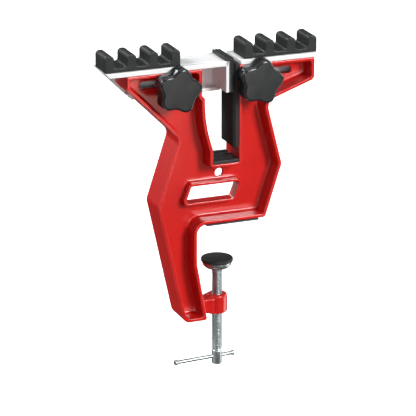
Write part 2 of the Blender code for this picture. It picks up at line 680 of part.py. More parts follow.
def main():
    clear_scene()
    mats = make_materials()
    build_frame(mats)
    build_fixed_pads(mats)
    left = build_left_slider(mats)
    right = build_right_slider(mats)
    build_clamp_set("left", LEFT_BOLT_X, left, mats)
    build_clamp_set("right", RIGHT_BOLT_X, right, mats)
    build_bench_clamp(mats)


main()
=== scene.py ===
"""The looks of the bench-clamp ski vise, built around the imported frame.

X runs along the two arms, -Y is the front with the star knobs, +Z is up.
Shapes are built in millimetres and scaled to metres, in the frame's own coordinates.
"""
import json
import math

import bmesh
import bpy
from mathutils import Matrix, Vector

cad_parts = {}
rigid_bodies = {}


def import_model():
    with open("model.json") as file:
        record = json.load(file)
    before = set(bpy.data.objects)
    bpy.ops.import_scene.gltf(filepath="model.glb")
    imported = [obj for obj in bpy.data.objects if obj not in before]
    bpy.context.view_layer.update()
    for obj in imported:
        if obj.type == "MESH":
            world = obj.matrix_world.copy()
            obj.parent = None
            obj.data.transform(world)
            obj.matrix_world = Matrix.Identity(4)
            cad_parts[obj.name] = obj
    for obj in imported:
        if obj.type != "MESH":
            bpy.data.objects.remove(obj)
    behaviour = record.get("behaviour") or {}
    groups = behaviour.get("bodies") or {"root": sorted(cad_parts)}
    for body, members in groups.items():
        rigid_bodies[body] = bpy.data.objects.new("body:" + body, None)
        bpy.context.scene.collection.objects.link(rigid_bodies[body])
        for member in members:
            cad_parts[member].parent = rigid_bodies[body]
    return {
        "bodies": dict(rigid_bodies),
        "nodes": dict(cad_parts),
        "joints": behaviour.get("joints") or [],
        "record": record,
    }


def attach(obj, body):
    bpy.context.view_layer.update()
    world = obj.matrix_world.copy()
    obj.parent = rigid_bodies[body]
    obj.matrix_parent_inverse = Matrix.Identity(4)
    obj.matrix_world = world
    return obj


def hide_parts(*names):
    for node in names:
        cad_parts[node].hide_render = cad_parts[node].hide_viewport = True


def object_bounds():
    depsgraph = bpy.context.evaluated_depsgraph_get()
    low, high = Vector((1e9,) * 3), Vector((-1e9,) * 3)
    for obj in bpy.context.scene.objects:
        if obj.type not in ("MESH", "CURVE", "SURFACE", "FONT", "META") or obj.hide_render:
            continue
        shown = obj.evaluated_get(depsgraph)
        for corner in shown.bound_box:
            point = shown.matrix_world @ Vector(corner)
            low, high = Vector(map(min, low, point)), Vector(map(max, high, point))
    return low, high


MM = 0.001
TOUCH_GAP = 0.3
RUN_GAP = 0.1
ARC_STEP = math.radians(7.0)
ROUND_STEPS = 72
SHARP_ANGLE = math.radians(34.0)
LEAST_FILLET = 0.3
LEAST_PRISM_FILLET = 0.05
FLAT_BORDER = 0.25
WELD_DISTANCE = 0.0005
CUT_MARGIN = 10.0
CUT_STEP = 1.0
OFF_PLANE = 0.02
LARGEST_CORNER_SHARE = 0.45

# One turn of a thread: shares of the way from root to crest
THREAD_SHAPE = (0.0, 0.0, 0.35, 0.9, 1.0, 0.9, 0.35, 0.0)

# The camera stands left of the front and above it, and looks at the middle of the object
CAMERA_PLACE = (-0.8472, -2.0987, 0.7819)
CAMERA_LENS = 226.0

# The floor lies below the clamp screw's lowest position
SCREW_TRAVEL_DOWN = 0.024
FLOOR_CLEARANCE = 0.003
FLOOR_HALF_SIZE = 40.0
FLOOR_GLOW = 0.85

# The surrounding: dim, with a pale band along the horizon; heights run from 0 below to 1 above
DIM = (0.035, 0.035, 0.035)
PALE = (0.95, 0.95, 0.95)
WORLD_STOPS = ((0.488, DIM), (0.492, PALE), (0.55, PALE), (0.58, DIM))

# Square soft boxes: name, place, target, size, power, and colour where it isn't white
WHITE = (1.0, 1.0, 1.0)
WARM = (1.0, 0.88, 0.76)
BODY = (0.0, 0.0, 0.03)
SOFT_BOXES = (
    ("key", (0.75, -1.90, 0.98), BODY, 0.6, 56.0),
    ("front_fill", (-0.7, -2.2, 0.5), BODY, 0.6, 10.0),
    ("left_side", (-1.5, 0.60, 1.30), BODY, 0.7, 44.0),
    ("left_low", (-0.95, 0.0, -0.42), (-0.05, 0.0, 0.05), 0.6, 1.2),
    ("under_left", (-0.40, 0.0, -1.05), (-0.05, 0.0, 0.05), 0.5, 5.0),
    ("right_low", (1.0, -0.20, -0.50), (0.0, 0.0, -0.05), 0.6, 3.5),
    ("overhead", (-0.1, 0.5, 2.2), (0.0, 0.0, 0.0), 1.6, 18.0),
    ("right_side", (1.8, 0.5, 0.5), (0.0, 0.0, 0.0), 0.9, 16.0),
    ("back_rim", (-0.45, 1.90, 0.98), (0.0, 0.0, 0.05), 0.30, 4.0),
    ("web_card", (0.20, -1.05, -0.16), (-0.07, 0.0, 0.10), 0.26, 0.8, WARM),
)

# Frame casting
HALF_DEPTH = 16.0
RIM_WIDTH = 3.3
RIM_OUTER_ROUND = 1.1
RIM_INNER_ROUND = 0.8
WALL_DRAFT = 0.4
WEB_FILLET = 2.0
WEB_FRONT = 0.0
WEB_BACK = 4.0
POCKET_CORNER = 2.5
ARM_TOP = 149.0
NOTCH_LEFT = -17.7
NOTCH_RIGHT = 15.0
NOTCH_FLOOR_LEFT = -9.7
NOTCH_FLOOR = 58.0
THROAT_WALL = -25.5
BENCH_FACE = 1.8
FOOT_BOTTOM = -91.4

# Outline of the casting: x, z and fillet radius, counter-clockwise seen from the front
FRAME_CORNERS = (
    (-92.0, ARM_TOP, 1.5), (-92.0, 136.5, 3.0), (-42.5, 86.5, 9.0), (-63.5, 23.0, 9.0),
    (-38.5, FOOT_BOTTOM, 7.0), (-15.5, FOOT_BOTTOM, 2.0),
    (THROAT_WALL, -36.0, 20.0), (THROAT_WALL, BENCH_FACE, 9.0), (41.5, BENCH_FACE, 3.5),
    (57.5, 51.5, 8.0), (42.3, 112.0, 9.0), (89.0, 128.4, 4.5), (89.0, ARM_TOP, 1.5),
    (NOTCH_RIGHT, ARM_TOP, 1.2), (NOTCH_RIGHT, NOTCH_FLOOR, 1.0),
    (NOTCH_FLOOR_LEFT, NOTCH_FLOOR, 1.0), (NOTCH_FLOOR_LEFT, 71.5, 3.0),
    (NOTCH_LEFT, 96.6, 125.0), (NOTCH_LEFT, 121.2, 0.8), (-20.5, 124.0, 0.8), (-20.5, ARM_TOP, 1.2),
)

# Hand opening with its collar, and the round hole above it
OPENING_CORNERS = ((-27.8, 36.8, 2.0), (-33.6, 21.2, 2.0), (13.1, 21.2, 2.0), (18.9, 36.8, 2.0))
COLLAR_WALL = 2.8
COLLAR_FRONT = -8.0
COLLAR_FILLET = 1.5
COLLAR_ROUND = 0.8
HOLE_X = 2.0
HOLE_Z = 44.9
HOLE_RADIUS = 4.0
EDGE_ROUND = 0.5

# Neck between the foot and the boss: its section in YZ, and where along X it flares, by how much
NECK_CORNERS = ((-7.0, -74.5, 1.6), (-7.0, -88.5, 1.6), (7.0, -88.5, 1.6), (7.0, -74.5, 1.6))
NECK_FLARE = ((-20.2, 3.0), (-18.6, 2.8), (-17.2, 1.7), (-16.0, 0.8), (-14.6, 0.2), (-13.0, 0.1),
              (-11.0, 0.5), (-9.0, 1.2), (-6.0, 2.2))

# Slots that the clamp bolts travel in
SLOT_Z = 135.0
SLOT_HALF_HEIGHT = 3.5
SLOTS = ((-71.5, -36.5), (29.5, 69.5))

# Sliders
PLATE_BOTTOM = 149.3
PLATE_TOP = 153.8
PLATE_FRONT = -16.8
LEG_FRONT = 16.3
LEG_BACK = 19.3
FLANGE_FRONT = 5.5
FLANGE_BOTTOM = 121.0
FLANGE_TOP = 124.2
GROOVE_GAP = 0.4
LEFT_SLIDER_END = -112.5
RIGHT_SLIDER_START = 16.3
RIGHT_SLIDER_END = 91.0
RIGHT_FLANGE_START = 19.5
JAW_LEFT = 2.0
JAW_RIGHT = 5.0
JAW_BOTTOM = 124.6
PLATE_EDGE = 0.45
PLATE_GROOVES = ((-11.6, 0.9), (13.4, 0.7))
PLATE_GROOVE_DEPTH = 0.7

# Rubber pads
JAW_PAD_THICKNESS = 4.0
JAW_LIP_LENGTH = 8.0
JAW_LIP_TOP = 157.3
LIP_GROOVES = (6.9, 3.6)
LIP_GROOVE_DEPTH = 0.9
JAW_SLIT_HALF_WIDTH = 0.5
JAW_SLIT_DEPTH = 0.8
JAW_SLIT_DROP = 3.0
LIP_TEETH = 5
TOOTH_START = 3.0
TOOTH_PITCH = 2.4
TOOTH_GAP = 0.9
TOOTH_DEPTH = 1.4
TOOTH_REACH = 1.3
WALL_PAD_THICKNESS = 5.0
WALL_PAD_BOTTOM = 72.0
WALL_PAD_TOP = 151.5
WALL_PAD_BEVEL = 2.0
WALL_PAD_EDGE = 1.1
FLOOR_PAD_THICKNESS = 3.0
FLOOR_RIBS = 3
FLOOR_RIB_DEPTH = 0.9
PAD_EDGE = 0.4
BENCH_PAD_THICKNESS = 1.5
BENCH_PAD_LEFT = -16.5
BENCH_PAD_RIGHT = 35.0

# Rubber combs
COMB_LENGTH = 71.0
COMB_FRONT = -15.8
COMB_BACK = 11.5
COMB_BOTTOM = 154.1
COMB_BASE = 4.0
COMB_TOP = 169.3
RIDGE_COUNT = 4
RIDGE_WIDTH = 8.8
RIDGE_ROUND = 3.6
ROOT_FILLET = 2.4
COMB_FRONT_ROUND = 0.9
COMB_BACK_ROUND = 1.6
NOTCH_SHARES = (0.16, 0.36, 0.56, 0.76)
NOTCH_DEPTH = 0.9
NOTCH_REACH = 0.6
NOTCH_STEEPNESS = 1.6
NOTCH_START = 2.2
NOTCH_FADE = 2.4
RING_STEP = 0.45
FINE_RING_STEP = 0.15
LEFT_COMB_START = -112.3
RIGHT_COMB_START = 19.8

# Clamp bolts, washers and star knobs
LEFT_BOLT_X = -47.5
RIGHT_BOLT_X = 31.0
BOLT_RADIUS = 3.0
BOLT_PITCH = 1.0
BOLT_THREAD_DEPTH = 0.55
BOLT_HEAD_RADIUS = 5.6
BOLT_HEAD_THICKNESS = 4.0
BOLT_HEAD_CHAMFER = 1.1
BOLT_FACE_RADIUS = 4.6
BOLT_FACE_HEIGHT = 0.3
BOLT_PLAIN_LENGTH = 4.0
BOLT_REACH = 20.0
BOLT_STEPS = 24
WASHER_RADIUS = 9.0
WASHER_THICKNESS = 1.6
WASHER_EDGE = 0.35
HUB_RADIUS = 8.0
HUB_CHAMFER = 0.8
HUB_FLARE = ((0.0, 1.6), (0.5, 0.4), (1.8, 0.0))
INSERT_RADIUS = 4.6
BORE_CHAMFER = 0.4
KNOB_BORE_END = 24.0
KNOB_BACK = 18.0
KNOB_BACK_ROUND = 1.4
KNOB_FACE = 33.0
KNOB_SIDE_ROUND = 2.4
KNOB_CROWN = 0.5
KNOB_FACE_BORDER = 0.5
KNOB_FACE_SHARES = (0.85, 0.65, 0.4, 0.15)
KNOB_SHARP_ANGLE = math.radians(50.0)
KNOB_LOBES = 5
KNOB_RADIUS = 19.0
KNOB_LOBE_DEPTH = 2.1
KNOB_FIRST_LOBE = math.radians(6.0)
KNOB_STEPS = 180

# Clamp screw, swivel pad and tommy bar
SCREW_RADIUS = 4.85
SCREW_ROOT = 4.15
SCREW_PITCH = 1.5
SCREW_STEPS = 48
SCREW_EDGE = 0.4
SCREW_BOTTOM = -142.0
SCREW_THREAD_BOTTOM = -128.0
SCREW_SHOULDER = -46.6
SCREW_NECK_RADIUS = 3.2
SCREW_NECK_TOP = -43.9
SCREW_TIP_RADIUS = 4.4
SCREW_TIP_TOP = -39.6
BOSS_RADIUS = 9.6
BOSS_TOP = -72.0
BOSS_BOTTOM = -90.0
BOSS_ROUND = 2.2
BOSS_SINK = 0.4
CUP_RADIUS = 13.6
CUP_BASE_RADIUS = 10.5
CUP_TOP = -39.0
CUP_BOTTOM = -46.2
CUP_STRAIGHT = 4.2
CAP_RADIUS = 14.9
CAP_TOP = -37.0
CAP_SKIRT_BOTTOM = -39.9
SWIVEL_EDGE = 0.9
BAR_RADIUS = 1.8
BAR_STEPS = 40
BAR_END_RADIUS = 2.6
BAR_END_LENGTH = 2.4
BAR_END_TAPER = 1.0
BAR_END_ROUND = 0.8
BAR_LEFT = -43.5
BAR_RIGHT = 17.5
BAR_Z = -134.4
BAR_TURN = math.radians(4.0)


# ---- materials

def new_material(name, colour, roughness, metallic=0.0):
    """A Principled material, with texture coordinates in metres that ride with the piece."""
    material = bpy.data.materials.new(name)
    material.use_nodes = True
    tree = material.node_tree
    shader = tree.nodes["Principled BSDF"]
    shader.inputs["Base Color"].default_value = (*colour, 1.0)
    shader.inputs["Roughness"].default_value = roughness
    shader.inputs["Metallic"].default_value = metallic
    return material, tree, shader, object_coordinates(tree)


def add_node(tree, kind, **settings):
    """A new node with some of its inputs set."""
    node = tree.nodes.new(kind)
    for name, value in settings.items():
        node.inputs[name.replace("_", " ")].default_value = value
    return node


def object_coordinates(tree, stretch=(1.0, 1.0, 1.0)):
    """Texture coordinates of the piece, stretched along its axes."""
    coordinates = tree.nodes.new("ShaderNodeTexCoord")
    mapping = add_node(tree, "ShaderNodeMapping", Scale=stretch)
    tree.links.new(coordinates.outputs["Object"], mapping.inputs["Vector"])
    return mapping.outputs["Vector"]


def noise(tree, vector, scale, detail=4.0):
    """Fractal noise, as its factor output."""
    node = add_node(tree, "ShaderNodeTexNoise", Scale=scale, Detail=detail, Roughness=0.55)
    tree.links.new(vector, node.inputs["Vector"])
    return node.outputs["Fac"]


def ramp(tree, factor, stops):
    """A colour ramp over a factor; stops are (position, colour)."""
    node = tree.nodes.new("ShaderNodeValToRGB")
    elements = node.color_ramp.elements
    while len(elements) < len(stops):
        elements.new(0.5)
    for element, (position, colour) in zip(elements, stops):
        element.position = position
        element.color = (*colour, 1.0)
    tree.links.new(factor, node.inputs["Fac"])
    return node.outputs["Color"]


def remap(tree, value, **limits):
    """A value mapped from one range onto another."""
    node = add_node(tree, "ShaderNodeMapRange", **limits)
    tree.links.new(value, node.inputs["Value"])
    return node.outputs["Result"]


def drift(tree, place, scale, dark, light, stops=(0.30, 0.70), detail=4.0):
    """A colour that drifts between two tones."""
    return ramp(tree, noise(tree, place, scale, detail), ((stops[0], dark), (stops[1], light)))


def plug_in(tree, shader, colour, place, scale, low, high):
    """Give the shader its colour, and a roughness that drifts from low to high."""
    roughness = remap(tree, noise(tree, place, scale), From_Min=0.3, From_Max=0.7, To_Min=low, To_Max=high)
    tree.links.new(colour, shader.inputs["Base Color"])
    tree.links.new(roughness, shader.inputs["Roughness"])


def bump(tree, shader, heights):
    """Chained bumps; heights are (factor, distance in metres, strength)."""
    normal = None
    for factor, distance, strength in heights:
        node = add_node(tree, "ShaderNodeBump", Strength=strength, Distance=distance)
        tree.links.new(factor, node.inputs["Height"])
        if normal is not None:
            tree.links.new(normal, node.inputs["Normal"])
        normal = node.outputs["Normal"]
    tree.links.new(normal, shader.inputs["Normal"])


def worn_edges(tree, low, high, body, worn):
    """The body's colour, going over to the worn one where pointiness shows a convex edge."""
    geometry = tree.nodes.new("ShaderNodeNewGeometry")
    edge = remap(tree, geometry.outputs["Pointiness"], From_Min=low, From_Max=high)
    node = tree.nodes.new("ShaderNodeMix")
    node.data_type = "RGBA"
    node.inputs[7].default_value = (*worn, 1.0)
    tree.links.new(edge, node.inputs["Factor"])
    tree.links.new(body, node.inputs[6])
    return node.outputs[2]


def red_paint():
    """Glossy red enamel over a die casting, with soft orange peel and worn edges."""
    material, tree, shader, place = new_material("red_enamel", (0.50, 0.007, 0.005), 0.30)
    shader.inputs["Specular IOR Level"].default_value = 0.25
    shader.inputs["Coat Weight"].default_value = 0.75
    shader.inputs["Coat Roughness"].default_value = 0.14
    body = drift(tree, place, 16.0, (0.46, 0.006, 0.005), (0.54, 0.009, 0.007), detail=3.0)
    worn = worn_edges(tree, 0.52, 0.60, body, (0.60, 0.022, 0.018))
    plug_in(tree, shader, worn, place, 90.0, 0.28, 0.42)
    peel = noise(tree, place, 260.0, 2.0)
    cast = noise(tree, place, 1400.0, 3.0)
    bump(tree, shader, ((peel, 0.0003, 0.08), (cast, 0.0001, 0.05)))
    return material


def white_plate():
    """White painted extrusion with faint lengthwise streaks."""
    material, tree, shader, place = new_material("white_plate", (0.70, 0.705, 0.71), 0.38)
    along = object_coordinates(tree, (12.0, 420.0, 420.0))
    tone = drift(tree, place, 22.0, (0.66, 0.67, 0.68), (0.72, 0.725, 0.73), stops=(0.32, 0.62))
    plug_in(tree, shader, tone, place, 140.0, 0.32, 0.48)
    streaks = noise(tree, along, 1.0, 2.0)
    grain = noise(tree, place, 1800.0, 2.0)
    bump(tree, shader, ((streaks, 0.0001, 0.12), (grain, 0.00008, 0.10)))
    return material


def black_rubber():
    """Matte moulded rubber with fine grain and paler rubbed edges."""
    material, tree, shader, place = new_material("black_rubber", (0.014, 0.015, 0.0155), 0.5)
    shader.inputs["Specular IOR Level"].default_value = 0.28
    tone = drift(tree, place, 60.0, (0.014, 0.016, 0.0165), (0.023, 0.025, 0.0255), stops=(0.30, 0.72))
    rubbed = worn_edges(tree, 0.53, 0.62, tone, (0.075, 0.078, 0.079))
    plug_in(tree, shader, rubbed, place, 300.0, 0.40, 0.54)
    grain = noise(tree, place, 2600.0, 3.0)
    skin = noise(tree, place, 500.0, 2.0)
    bump(tree, shader, ((skin, 0.0002, 0.15), (grain, 0.0001, 0.35)))
    return material


def black_plastic(name, low, high, colour, grain_strength):
    """Moulded black plastic; low and high bound its roughness."""
    material, tree, shader, place = new_material(name, colour, low)
    darker = tuple(0.8 * part for part in colour)
    lighter = tuple(1.25 * part for part in colour)
    plug_in(tree, shader, drift(tree, place, 45.0, darker, lighter), place, 220.0, low, high)
    grain = noise(tree, place, 2400.0, 2.0)
    bump(tree, shader, ((grain, 0.00012, grain_strength),))
    return material


def zinc_steel(name, low, high):
    """Bright zinc plate over steel; low and high bound its roughness."""
    material, tree, shader, place = new_material(name, (0.42, 0.46, 0.47), low, 1.0)
    tone = drift(tree, place, 70.0, (0.35, 0.39, 0.41), (0.48, 0.52, 0.53))
    plug_in(tree, shader, tone, place, 260.0, low, high)
    bump(tree, shader, ((noise(tree, place, 900.0), 0.00003, 0.06),))
    return material


def brass():
    """Turned brass with light tarnish."""
    material, tree, shader, place = new_material("brass", (0.78, 0.57, 0.23), 0.3, 1.0)
    tone = drift(tree, place, 120.0, (0.60, 0.41, 0.16), (0.83, 0.62, 0.27))
    plug_in(tree, shader, tone, place, 400.0, 0.22, 0.4)
    bump(tree, shader, ((noise(tree, place, 1500.0), 0.00005, 0.2),))
    return material


def floor_material():
    """Plain pale studio floor."""
    material, tree, shader, place = new_material("studio_floor", (0.86, 0.865, 0.87), 0.7)
    tone = drift(tree, place, 1.2, (0.85, 0.855, 0.86), (0.87, 0.875, 0.88), detail=2.0)
    tree.links.new(tone, shader.inputs["Base Color"])
    shader.inputs["Emission Color"].default_value = (*WHITE, 1.0)
    shader.inputs["Emission Strength"].default_value = FLOOR_GLOW
    return material


# ---- mesh tools

def add_object(name, data):
    """A new object in the scene."""
    item = bpy.data.objects.new(name, data)
    bpy.context.scene.collection.objects.link(item)
    return item


def mesh_object(name, builder, materials):
    """A new object made from a bmesh."""
    mesh = bpy.data.meshes.new(name)
    builder.to_mesh(mesh)
    builder.free()
    for material in materials:
        mesh.materials.append(material)
    return add_object(name, mesh)


def finish_mesh(name, builder, materials, sharp=SHARP_ANGLE):
    """Turn a bmesh in millimetres into an object in metres, shaded by angle."""
    bmesh.ops.scale(builder, vec=(MM, MM, MM), verts=builder.verts)
    bmesh.ops.recalc_face_normals(builder, faces=builder.faces)
    piece = mesh_object(name, builder, materials)
    shade(piece, sharp)
    return piece


def shade(piece, sharp=SHARP_ANGLE):
    """Smooth the round faces and keep the real edges sharp."""
    piece.data.shade_smooth()
    piece.data.set_sharp_from_angle(angle=sharp)


def place_piece(piece, body, node):
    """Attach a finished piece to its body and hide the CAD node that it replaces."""
    # Large faces set the normals, so that flats stay flat beside fillets
    modifier = piece.modifiers.new("normals", "WEIGHTED_NORMAL")
    modifier.keep_sharp = True
    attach(piece, body)
    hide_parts(node)


def add_piece(name, builder, material, body, node):
    """Finish and place a piece that needs no Boolean."""
    place_piece(finish_mesh(name, builder, [material]), body, node)


def combine(piece, tool, operation):
    """Apply one Boolean of tool to piece and remove the tool."""
    modifier = piece.modifiers.new(operation.lower(), "BOOLEAN")
    modifier.operation = operation
    modifier.solver = "EXACT"
    modifier.object = tool
    bpy.context.view_layer.update()
    depsgraph = bpy.context.evaluated_depsgraph_get()
    result = bpy.data.meshes.new_from_object(piece.evaluated_get(depsgraph))
    piece.modifiers.clear()
    piece.data = result
    bpy.data.objects.remove(tool, do_unlink=True)
    shade(piece)


def cut(piece, builder):
    """Take a bmesh tool's space away from the piece."""
    combine(piece, finish_mesh("cutter", builder, list(piece.data.materials)), "DIFFERENCE")


def fuse(piece, builder):
    """Join a bmesh tool to the piece as one body."""
    combine(piece, finish_mesh("joiner", builder, list(piece.data.materials)), "UNION")


def rounded_outline(corners, inset=0.0, least=LEAST_FILLET):
    """Points of a closed outline with filleted corners, moved inwards by inset."""
    points = []
    for index, (x, z, radius) in enumerate(corners):
        here = Vector((x, z))
        before = Vector(corners[index - 1][:2])
        after = Vector(corners[(index + 1) % len(corners)][:2])
        arriving = (here - before).normalized()
        leaving = (after - here).normalized()
        left_in = Vector((-arriving.y, arriving.x))
        left_out = Vector((-leaving.y, leaving.x))
        corner = here + (left_in + left_out) * inset / (1.0 + left_in.dot(left_out))
        turn = math.atan2(arriving.cross(leaving), arriving.dot(leaving))
        side = math.copysign(1.0, turn)
        fillet = max(radius - side * inset, least)
        start = corner - arriving * fillet * math.tan(abs(turn) / 2.0)
        centre = start + left_in * fillet * side
        steps = max(1, math.ceil(abs(turn) / ARC_STEP))
        for step in range(steps + 1):
            spoke = start - centre
            spoke.rotate(Matrix.Rotation(turn * step / steps, 2))
            points.append(centre + spoke)
    return [(point.x, point.y) for point in points]


def around(steps):
    """Evenly spaced angles round a full turn."""
    return [2.0 * math.pi * step / steps for step in range(steps)]


def polar(radius, angle, height):
    """The point at a radius, an angle and a height about Z."""
    return (radius * math.cos(angle), radius * math.sin(angle), height)


def circle_outline(x, z, radius):
    """Points of a circle, counter-clockwise."""
    return [(x + radius * math.cos(a), z + radius * math.sin(a)) for a in around(ROUND_STEPS)]


def quarter_round(steps=4):
    """Sine and cosine pairs from 0 to 90 degrees."""
    angles = [math.pi / 2.0 * step / steps for step in range(steps + 1)]
    return [(math.sin(a), math.cos(a)) for a in angles]


def add_ring(builder, outline, y):
    """A ring of vertices for an XZ outline at one depth."""
    return [builder.verts.new((x, y, z)) for x, z in outline]


def bridge(builder, lower, upper):
    """A band of faces between two rings; a ring of one point makes a fan."""
    count = max(len(lower), len(upper))
    for step in range(count):
        after = (step + 1) % count
        corners = (lower[step % len(lower)], lower[after % len(lower)],
                   upper[after % len(upper)], upper[step % len(upper)])
        builder.faces.new(tuple(dict.fromkeys(corners)))


def bridge_all(builder, rings):
    """Bands of faces between each ring and the next."""
    for lower, upper in zip(rings, rings[1:]):
        bridge(builder, lower, upper)


def close_loft(builder, rings):
    """Bands of faces through all the rings, with one face on each end."""
    bridge_all(builder, rings)
    builder.faces.new(rings[0])
    builder.faces.new(rings[-1])


def fill_between(builder, rings):
    """Fill the flat area bounded by an outer ring and any holes in it."""
    edges = []
    for ring in rings:
        for step, vert in enumerate(ring):
            after = ring[(step + 1) % len(ring)]
            edge = builder.edges.get((vert, after))
            edges.append(edge if edge is not None else builder.edges.new((vert, after)))
    bmesh.ops.triangle_fill(builder, use_beauty=True, edges=edges)


def fill_loft(builder, rings):
    """Bands of faces through all the rings, with both ends filled by triangles."""
    bridge_all(builder, rings)
    fill_between(builder, [rings[0]])
    fill_between(builder, [rings[-1]])


def lathe(profile, steps=ROUND_STEPS):
    """A bmesh of an open (radius, height) profile spun about Z; radius 0 closes an end."""
    builder = bmesh.new()
    rings = []
    for radius, height in profile:
        spokes = around(steps) if radius > 0.0 else [0.0]
        rings.append([builder.verts.new(polar(radius, angle, height)) for angle in spokes])
    bridge_all(builder, rings)
    if profile[0][0] > 0.0:
        bridge(builder, rings[-1], rings[0])
    return builder


def rod(radius, low, high):
    """The profile of a solid cylinder."""
    return [(0.0, low), (radius, low), (radius, high), (0.0, high)]


def softened(profile, radius, steps=3):
    """A (radius, height) profile with each inner corner rounded."""
    points = [profile[0]]
    for before, here, after in zip(profile, profile[1:], profile[2:]):
        here, before, after = Vector(here), Vector(before), Vector(after)
        shorter = min((before - here).length, (after - here).length)
        reach = min(radius, shorter * LARGEST_CORNER_SHARE)
        first = here + (before - here).normalized() * reach
        last = here + (after - here).normalized() * reach
        for step in range(steps + 1):
            share = step / steps
            inner = first.lerp(here, share)
            outer = here.lerp(last, share)
            points.append(tuple(inner.lerp(outer, share)))
    points.append(profile[-1])
    return points


def softened_loop(corners, radius, steps=3):
    """A closed (radius, height) section with every corner rounded, begun midway along its last side."""
    seam = tuple(Vector(corners[0]).lerp(Vector(corners[-1]), 0.5))
    return softened([seam, *corners, seam], radius, steps)[:-1]


def turned(builder, angle, axis):
    """Rotate a bmesh about an axis through the origin."""
    matrix = Matrix.Rotation(angle, 3, axis)
    bmesh.ops.rotate(builder, cent=(0.0, 0.0, 0.0), matrix=matrix, verts=builder.verts)
    return builder


def moved(builder, x, y, z):
    """Move a bmesh."""
    bmesh.ops.translate(builder, vec=(x, y, z), verts=builder.verts)
    return builder


def soft_prism(corners, low, high, edge, axis="Y", slant_top=None):
    """An extruded outline with rounded end edges.

    The outline lies in XZ for axis Y, in YZ for axis X and in XY for axis Z.
    With slant_top, the low end runs off at 45 degrees below that height.
    """
    builder = bmesh.new()
    levels = [(edge + FLAT_BORDER, low)]
    levels += [(edge * (1.0 - s), low + edge * (1.0 - c)) for s, c in quarter_round()]
    levels += [(edge * (1.0 - c), high - edge * (1.0 - s)) for s, c in quarter_round()]
    levels.append((edge + FLAT_BORDER, high))
    rings = []
    for number, (inset, along) in enumerate(levels):
        ring = []
        for first, second in rounded_outline(corners, inset, LEAST_PRISM_FILLET):
            run = along
            if slant_top is not None and number < len(levels) // 2:
                run += slant_top - second
            ring.append(builder.verts.new(on_axis(axis, first, second, run)))
        rings.append(ring)
    fill_loft(builder, rings)
    return builder


def on_axis(axis, first, second, along):
    """Coordinates of an outline point at a place along the extrusion's axis."""
    if axis == "X":
        return (along, first, second)
    if axis == "Y":
        return (first, along, second)
    return (first, second, along)


def block(left, right, front, back, bottom, top):
    """A plain cutter between six planes."""
    outline = ((left, top), (left, bottom), (right, bottom), (right, top))
    builder = bmesh.new()
    close_loft(builder, [add_ring(builder, outline, front), add_ring(builder, outline, back)])
    return builder


def threaded_rows(bottom, top, pitch, crest, root, steps):
    """Rows of (radius, height) lists for a helical thread that runs out at both ends."""
    turns = int((top - bottom) / pitch) + 2
    parts = len(THREAD_SHAPE)
    rows = []
    for row in range(turns * parts + 1):
        ring = []
        for step in range(steps):
            height = bottom + pitch * (row / parts + step / steps - 1.0)
            inside = min(max(height, bottom), top)
            run_out = min(1.0, (inside - bottom) / pitch, (top - inside) / pitch)
            radius = root + (crest - root) * THREAD_SHAPE[row % parts] * max(run_out, 0.0)
            ring.append((radius, inside))
        rows.append(ring)
    return rows


def threaded_shaft(head, rows, tip, steps):
    """A bmesh of a shaft: plain head profile, thread rows, plain tip profile, all about Z."""
    builder = bmesh.new()
    rings = [[point] * steps for point in head] + rows + [[point] * steps for point in tip]
    close_loft(builder, [[builder.verts.new(polar(radius, angle, height))
                          for angle, (radius, height) in zip(around(steps), ring)] for ring in rings])
    bmesh.ops.remove_doubles(builder, verts=builder.verts, dist=WELD_DISTANCE)
    bmesh.ops.dissolve_degenerate(builder, edges=builder.edges, dist=WELD_DISTANCE)
    return builder


# ---- the casting

def rim_levels(side, web):
    """(inset, y) from the casting's outer wall over the rim and down to the web."""
    outer, inner, fillet = RIM_OUTER_ROUND, RIM_INNER_ROUND, WEB_FILLET
    levels = [(outer * (1.0 - c), side * (HALF_DEPTH - outer + outer * s)) for s, c in quarter_round()]
    levels += [(RIM_WIDTH - inner + inner * s, side * (HALF_DEPTH - inner + inner * c))
               for s, c in quarter_round()]
    foot = RIM_WIDTH + WALL_DRAFT
    levels += [(foot + fillet * (1.0 - c), web + side * fillet * (1.0 - s)) for s, c in quarter_round(5)]
    levels.append((foot + fillet + FLAT_BORDER, web))
    return levels


def collar_levels():
    """(inset, y) from the web's front up the collar, over it and through to the web's back."""
    wall, fillet, edge, end = COLLAR_WALL, COLLAR_FILLET, COLLAR_ROUND, EDGE_ROUND
    turn = quarter_round()
    levels = [(-wall - fillet - FLAT_BORDER, WEB_FRONT)]
    levels += [(-wall - fillet * (1.0 - s), WEB_FRONT - fillet * (1.0 - c)) for s, c in turn]
    levels += [(-wall + edge * (1.0 - c), COLLAR_FRONT + edge * (1.0 - s)) for s, c in turn]
    levels += [(-edge * (1.0 - s), COLLAR_FRONT + edge * (1.0 - c)) for s, c in turn]
    levels += [(-end * (1.0 - c), WEB_BACK - end * (1.0 - s)) for s, c in turn]
    levels.append((-end - FLAT_BORDER, WEB_BACK))
    return levels


def hole_levels():
    """(outward growth, y) of a hole through the web with rounded edges."""
    edge = EDGE_ROUND
    levels = [(edge + FLAT_BORDER, WEB_FRONT)]
    levels += [(edge * (1.0 - s), WEB_FRONT + edge * (1.0 - c)) for s, c in quarter_round(3)]
    levels += [(edge * (1.0 - c), WEB_BACK - edge * (1.0 - s)) for s, c in quarter_round(3)]
    levels.append((edge + FLAT_BORDER, WEB_BACK))
    return levels


def slot_corners(left, right):
    """Outline corners of a slot with round ends between two bolt centres."""
    half = SLOT_HALF_HEIGHT
    return ((left - half, SLOT_Z + half, half), (left - half, SLOT_Z - half, half),
            (right + half, SLOT_Z - half, half), (right + half, SLOT_Z + half, half))


